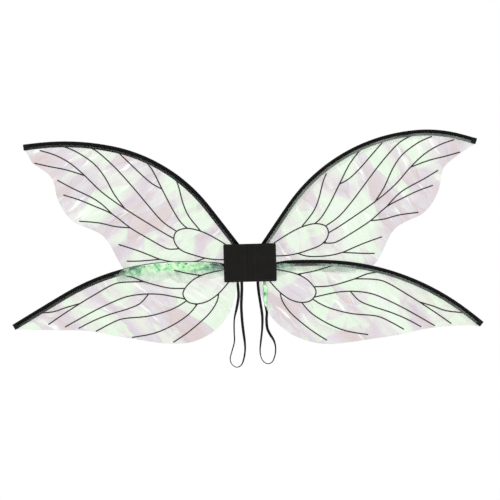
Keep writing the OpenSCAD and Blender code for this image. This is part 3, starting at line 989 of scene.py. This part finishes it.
class WINGS_OT_pad_backs(bpy.types.Operator):
    """Fills the padded halves that lie on the wearer's back"""
    bl_idname = "wings.pad_backs"
    bl_label = "Pad backs"

    VOXEL = 2.2 * MM

    def execute(self, context):
        material = pad_cloth_finish()
        for side in SIDES:
            low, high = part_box(f"{side}_backing")
            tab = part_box(f"{side}_strap_tab")
            piece = self.cushion(f"{side}_back_padding", low, high, tab, material, body_of(side))
            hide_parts(f"{side}_backing")
        low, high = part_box("spine_cover")
        low.y += 2.4 * MM
        piece = self.cushion("spine_padding", low, high, None, material, "spine")
        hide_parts("spine_cover")
        return {"FINISHED"}

    def cushion(self, name, low, high, notch, material, body):
        shrink = Vector((0.7, 0.5, 0.7)) * MM
        bm = bmesh.new()
        bmesh.ops.create_cube(bm, size=1.0)
        bmesh.ops.scale(bm, verts=bm.verts, vec=high - low - 2 * shrink)
        bmesh.ops.translate(bm, verts=bm.verts, vec=(low + high) / 2)
        bmesh.ops.bevel(bm, geom=bm.edges[:], offset=1.6 * MM, segments=3, affect="EDGES",
                        profile=0.5, material=-1)
        piece = make_piece(name, bm, body, material)
        self.remesh(piece)
        swell(piece, 1.1 * MM)
        self.quilt(piece, low, high, notch)
        rounding = piece.modifiers.new("Round", "SUBSURF")
        rounding.levels = 1
        rounding.render_levels = 1
        return piece

    def remesh(self, piece):
        voxels = piece.modifiers.new("Voxels", "REMESH")
        voxels.mode = "VOXEL"
        voxels.voxel_size = self.VOXEL
        evaluated = piece.evaluated_get(bpy.context.evaluated_depsgraph_get())
        mesh = bpy.data.meshes.new_from_object(evaluated)
        materials = [slot.material for slot in piece.material_slots]
        piece.modifiers.remove(voxels)
        piece.data = mesh
        mesh.materials.clear()
        for material in materials:
            mesh.materials.append(material)
        mesh.shade_smooth()

    def quilt(self, piece, low, high, notch):
        """Sews a border seam into the padding and presses it in under the strap's tab."""
        for vert in piece.data.vertices:
            x, y, z = vert.co
            edge = min(x - low.x, high.x - x, z - low.z, high.z - z)
            back = soft_step(y, (low.y + high.y) / 2, high.y)
            seam = math.exp(-((edge - 4.5 * MM) / (0.9 * MM)) ** 2)
            vert.co.y -= 0.7 * MM * seam * back
            if notch:
                inside = min(x - notch[0].x, notch[1].x - x, notch[1].z - z)
                vert.co.y -= 1.9 * MM * soft_step(inside, -1.0 * MM, 0.6 * MM) * back
            vert.co.y = min(vert.co.y, high.y + 0.2 * MM)
            vert.co.z = max(low.z - 0.05 * MM, vert.co.z)


class WINGS_OT_stitching(bpy.types.Operator):
    """Sews a row of stitches round each half of the pad's front"""
    bl_idname = "wings.stitching"
    bl_label = "Stitching"

    INSET = 3.4 * MM
    LENGTH = 2.1 * MM
    THREAD = 0.42 * MM

    def execute(self, context):
        material = thread_finish()
        for side in SIDES:
            bm = bmesh.new()
            for spot, upright in self.places(side):
                self.stitch(bm, spot, upright)
            make_piece(f"{side}_stitches", bm, body_of(side), material)
        return {"FINISHED"}

    def places(self, side):
        low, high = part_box(f"{side}_cover")
        pitch = chosen().pad.stitch_pitch
        left, right = low.x + self.INSET, high.x - self.INSET
        bottom, top = low.z + self.INSET, high.z - self.INSET
        y = low.y - 0.25 * MM
        for x in (left, right):
            count = round((top - bottom) / pitch)
            for i in range(count + 1):
                yield Vector((x, y, bottom + (top - bottom) * i / count)), True
        for z in (bottom, top):
            count = round((right - left) / pitch)
            for i in range(1, count):
                yield Vector((left + (right - left) * i / count, y, z)), False

    def stitch(self, bm, spot, upright):
        made = bmesh.ops.create_icosphere(bm, subdivisions=1, radius=self.THREAD)["verts"]
        stretch = self.LENGTH / 2 / self.THREAD
        scale = Vector((1, 0.8, stretch)) if upright else Vector((stretch, 0.8, 1))
        bmesh.ops.scale(bm, verts=made, vec=scale)
        bmesh.ops.translate(bm, verts=made, vec=spot)


class WINGS_OT_strap_tabs(bpy.types.Operator):
    """Builds the webbing tabs that hold the elastic, each with two rows of stitches"""
    bl_idname = "wings.strap_tabs"
    bl_label = "Strap tabs"

    def execute(self, context):
        material = webbing_finish()
        thread = thread_finish()
        for side in SIDES:
            node = f"{side}_strap_tab"
            low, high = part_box(node)
            bm = cad_copy(node)
            bmesh.ops.dissolve_limit(bm, angle_limit=math.radians(1), verts=bm.verts, edges=bm.edges)
            bmesh.ops.bevel(bm, geom=bm.edges[:], offset=0.6 * MM, segments=3, affect="EDGES",
                            profile=0.5, material=-1)
            cut_grid(bm, 1.5 * MM)
            for vert in bm.verts:
                rib = math.cos((vert.co.x - low.x) / MM * math.pi / 1.5)
                vert.co.y += 0.12 * MM * rib * soft_step(vert.co.y, low.y, high.y)
            piece = make_piece(f"{side}_strap_webbing", bm, body_of(side), material)
            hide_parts(node)
            self.bar_tacks(side, low, high, thread)
        return {"FINISHED"}

    def bar_tacks(self, side, low, high, material):
        bm = bmesh.new()
        for row in (0.2, 0.8):
            z = low.z + (high.z - low.z) * row
            count = 14
            for i in range(count):
                x = low.x + 1.5 * MM + (high.x - low.x - 3 * MM) * i / (count - 1)
                made = bmesh.ops.create_icosphere(bm, subdivisions=1, radius=0.4 * MM)["verts"]
                bmesh.ops.scale(bm, verts=made, vec=Vector((1, 0.7, 2.6)))
                bmesh.ops.rotate(bm, verts=made, matrix=Matrix.Rotation(math.radians(20), 3, "Y"))
                bmesh.ops.translate(bm, verts=made, vec=Vector((x, high.y + 0.12 * MM, z)))
        make_piece(f"{side}_bar_tacks", bm, body_of(side), material)


# ---------------------------------------------------------------- the shoulder straps

TOP = -36.8
STRAP_ROUTES = {
    "left": [
        (-25, -3.2, TOP), (-24, -3.4, -50), (-24, -3.8, -66), (-28, -3.4, -87),
        (-33, -2.4, -108), (-34, -1.4, -131), (-34, -0.6, -151), (-39, 0, -169), (-43, 0.4, -184),
        (-40, 0.6, -195), (-31, 0.8, -201), (-22, 1, -197), (-17, 1.2, -186), (-14, 1.4, -170),
        (-14, 1.6, -154), (-16, 1.8, -135), (-18, 1.6, -113), (-19, 0.4, -86), (-18, -1.6, -66),
        (-17, -2.9, -50), (-17, -3.2, TOP),
    ],
    "right": [
        (14, -3.2, TOP), (15, -3, -54), (18, -2, -78), (21, -1.2, -104), (20, -0.6, -129),
        (17, 0, -152), (15, 0.6, -170), (17, 1, -184), (23, 1.2, -193), (31, 1.4, -196),
        (39, 1.2, -191), (44, 1, -178), (45, 0.8, -164), (42, 0.6, -151), (35, 0.4, -139),
        (30, 0.2, -127), (29, 0, -110), (30, -0.6, -97), (28, -1.4, -82), (27, -2.4, -60),
        (27, -3.2, TOP),
    ],
}
# How far the elastic is turned out of the wings' plane, at each share of its length
STRAP_TWISTS = {
    "left": [(0.0, 5), (0.1, 12), (0.22, 68), (0.48, 80), (0.6, 62), (0.75, 20), (1.0, 0)],
    "right": [(0.0, 5), (0.15, 18), (0.3, 55), (0.45, 80), (0.6, 70), (0.72, 20), (0.85, 30), (1.0, 5)],
}


def smooth_route(points, steps):
    """Points along the smooth curve through a route, steps to each stretch."""
    route = [Vector(point) * MM for point in points]
    line = []
    for i in range(len(route) - 1):
        a, b = route[max(0, i - 1)], route[i]
        c, d = route[i + 1], route[min(len(route) - 1, i + 2)]
        for j in range(steps):
            t = j / steps
            line.append(0.5 * (2 * b + (c - a) * t + (2 * a - 5 * b + 4 * c - d) * t * t
                               + (3 * b - a - 3 * c + d) * t * t * t))
    line.append(route[-1])
    return line


def between(stops, share):
    """The value at a share of the way along a list of (share, value) stops."""
    for (a, first), (b, second) in zip(stops, stops[1:]):
        if share <= b:
            return first + (second - first) * soft_step(share, a, b)
    return stops[-1][1]


class WINGS_OT_straps(bpy.types.Operator):
    """Lays the two loops of ribbed elastic along their routes"""
    bl_idname = "wings.straps"
    bl_label = "Straps"

    RIBS = 5
    STEPS = 10

    def execute(self, context):
        material = elastic_finish()
        strap = chosen().strap
        for side in SIDES:
            line = smooth_route(STRAP_ROUTES[side], self.STEPS)
            bm = self.ribbon(line, STRAP_TWISTS[side], strap)
            piece = make_piece(f"{side}_elastic", bm, f"{side}_strap", material)
            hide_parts(f"{side}_strap")
            length = sum((b - a).length for a, b in zip(line, line[1:]))
        return {"FINISHED"}

    def section(self, strap):
        """The elastic's outline: ribs on both faces and round edges."""
        half, deep = strap.width / 2, strap.thickness / 2
        count = self.RIBS * 4
        face = [(-half * 0.94 + 1.88 * half * i / count,
                 deep * (0.82 + 0.18 * math.cos(2 * math.pi * self.RIBS * i / count))) for i in range(count + 1)]
        back = [(x, -y) for x, y in reversed(face)]
        return face + [(half, 0.0)] + back + [(-half, 0.0)]

    def ribbon(self, line, twists, strap):
        bm = bmesh.new()
        outline = self.section(strap)
        rings = []
        length = sum((b - a).length for a, b in zip(line, line[1:]))
        gone = 0.0
        for i, point in enumerate(line):
            ahead = (line[min(i + 1, len(line) - 1)] - line[max(i - 1, 0)]).normalized()
            gone += (point - line[i - 1]).length if i else 0.0
            flat = TOWARDS_CAMERA.cross(ahead).normalized()
            turn = Matrix.Rotation(math.radians(between(twists, gone / length)), 3, ahead)
            wide = turn @ flat
            deep = ahead.cross(wide)
            verts = [bm.verts.new(point + wide * u + deep * v) for u, v in outline]
            rings.append([bm.edges.new((verts[j - 1], verts[j])) for j in range(len(verts))])
        for first, second in zip(rings, rings[1:]):
            bmesh.ops.bridge_loops(bm, edges=first + second)
        for ring in (rings[0], rings[-1]):
            bmesh.ops.edgeloop_fill(bm, edges=ring)
        bmesh.ops.recalc_face_normals(bm, faces=bm.faces)
        return bm


# ---------------------------------------------------------------- finishes on the frame's own parts

class WINGS_OT_frame_finishes(bpy.types.Operator):
    """Gives the tapes, wires, rivets, boards and foam their finishes"""
    bl_idname = "wings.frame_finishes"
    bl_label = "Frame finishes"

    def execute(self, context):
        tape, wire = tape_finish(), steel_finish("drawn_wire", 0.55)
        rivet, board, foam = steel_finish("rivet_steel", 0.62), board_finish(), foam_finish()
        wanted = {"spine_core": foam}
        for side in SIDES:
            wanted[f"{side}_board"] = board
            wanted[f"{side}_rivets"] = rivet
        for side, level in WINGS:
            wanted[f"{side}_{level}_tape"] = tape
            wanted[f"{side}_{level}_wire"] = wire
        for name, material in wanted.items():
            node = frame["nodes"][name]
            if not node.material_slots:
                node.data.materials.append(material)
            for slot in node.material_slots:
                slot.material = material
        return {"FINISHED"}


# ---------------------------------------------------------------- stage

class WINGS_OT_stage(bpy.types.Operator):
    """Sets the camera, the soft lights, the white surroundings and the pale floor"""
    bl_idname = "wings.stage"
    bl_label = "Stage"

    SHOWN_WIDTH = 0.9615
    LENS = 105.0
    SENSOR = 36.0
    ROLL = math.radians(1.5)
    ABOVE_PAD = 24.5 * MM
    FLOOR_Z = -0.80

    def execute(self, context):
        self.camera(context.scene)
        self.surroundings(context.scene)
        self.lights(context.scene)
        self.floor(context.scene)
        return {"FINISHED"}

    def camera(self, scene):
        data = bpy.data.cameras.new("camera")
        data.lens = self.LENS
        data.sensor_width = self.SENSOR
        camera = bpy.data.objects.new("camera", data)
        scene.collection.objects.link(camera)
        up = Vector((math.sin(self.ROLL), 0, math.cos(self.ROLL)))
        right = Vector((math.cos(self.ROLL), 0, -math.sin(self.ROLL)))
        away = self.SHOWN_WIDTH * self.LENS / self.SENSOR
        place = up * self.ABOVE_PAD + TOWARDS_CAMERA * (away + 0.01)
        turned = Matrix((right, up, TOWARDS_CAMERA)).transposed().to_4x4()
        camera.matrix_world = Matrix.Translation(place) @ turned
        scene.camera = camera

    def surroundings(self, scene):
        scene.view_settings.view_transform = "Standard"
        world = bpy.data.worlds.new("white_surroundings")
        world.use_nodes = True
        world.node_tree.nodes["Background"].inputs["Color"].default_value = (1, 1, 1, 1)
        world.node_tree.nodes["Background"].inputs["Strength"].default_value = 1.0
        scene.world = world

    def lights(self, scene):
        for name, place, size, power in (
            ("key_light", (-1.2, -1.8, 1.6), 1.0, 9.0),
            ("fill_light", (1.6, -1.6, 0.6), 1.4, 5.0),
            ("back_light", (0.3, 1.9, 1.4), 1.2, 6.0),
        ):
            data = bpy.data.lights.new(name, "AREA")
            data.size = size
            data.energy = power
            light = bpy.data.objects.new(name, data)
            light.location = place
            light.rotation_euler = (-Vector(place)).to_track_quat("-Z", "Y").to_euler()
            scene.collection.objects.link(light)

    def floor(self, scene):
        bm = bmesh.new()
        bmesh.ops.create_grid(bm, x_segments=1, y_segments=1, size=1.3)
        bmesh.ops.translate(bm, verts=bm.verts, vec=Vector((0, 0, self.FLOOR_Z)))
        mesh = bpy.data.meshes.new("floor")
        bm.to_mesh(mesh)
        bm.free()
        finish = Finish("pale_floor", Roughness=0.8)
        finish.feed("Base Color", finish.mix(finish.noise(3.0), grey(0.86), grey(0.90)))
        mesh.materials.append(finish.material)
        floor = bpy.data.objects.new("floor", mesh)
        scene.collection.objects.link(floor)


# ---------------------------------------------------------------- panel and running

OPERATORS = (
    WINGS_OT_stage, WINGS_OT_straps, WINGS_OT_films, WINGS_OT_veins, WINGS_OT_sleeves,
    WINGS_OT_hems, WINGS_OT_root_fold, WINGS_OT_sheets, WINGS_OT_tips,
    WINGS_OT_pad_fronts, WINGS_OT_pad_backs, WINGS_OT_stitching,
    WINGS_OT_strap_tabs, WINGS_OT_frame_finishes,
)


class WINGS_PT_panel(bpy.types.Panel):
    bl_idname = "WINGS_PT_panel"
    bl_label = "Fairy wings"
    bl_space_type = "VIEW_3D"
    bl_region_type = "UI"
    bl_category = "Wings"

    def draw(self, context):
        settings = context.scene.fairy_wings
        for group in (settings.film, settings.edge, settings.pad, settings.strap):
            box = self.layout.box()
            for name in group.__annotations__:
                box.prop(group, name)
        for operator in OPERATORS:
            self.layout.operator(operator.bl_idname)


CLASSES = (FilmSettings, EdgeSettings, PadSettings, StrapSettings, WingSettings,
           *OPERATORS, WINGS_PT_panel)


def register():
    for cls in CLASSES:
        bpy.utils.register_class(cls)
    bpy.types.Scene.fairy_wings = bpy.props.PointerProperty(type=WingSettings)


def unregister():
    del bpy.types.Scene.fairy_wings
    for cls in reversed(CLASSES):
        bpy.utils.unregister_class(cls)


def main():
    register()
    bpy.ops.wings.stage()
    bpy.ops.wings.straps()
    bpy.ops.wings.films()
    bpy.ops.wings.veins()
    bpy.ops.wings.sleeves()
    bpy.ops.wings.hems()
    bpy.ops.wings.root_fold()
    bpy.ops.wings.sheets()
    bpy.ops.wings.tips()
    bpy.ops.wings.pad_fronts()
    bpy.ops.wings.pad_backs()
    bpy.ops.wings.stitching()
    bpy.ops.wings.strap_tabs()
    bpy.ops.wings.frame_finishes()


if __name__ == "__main__":
    main()
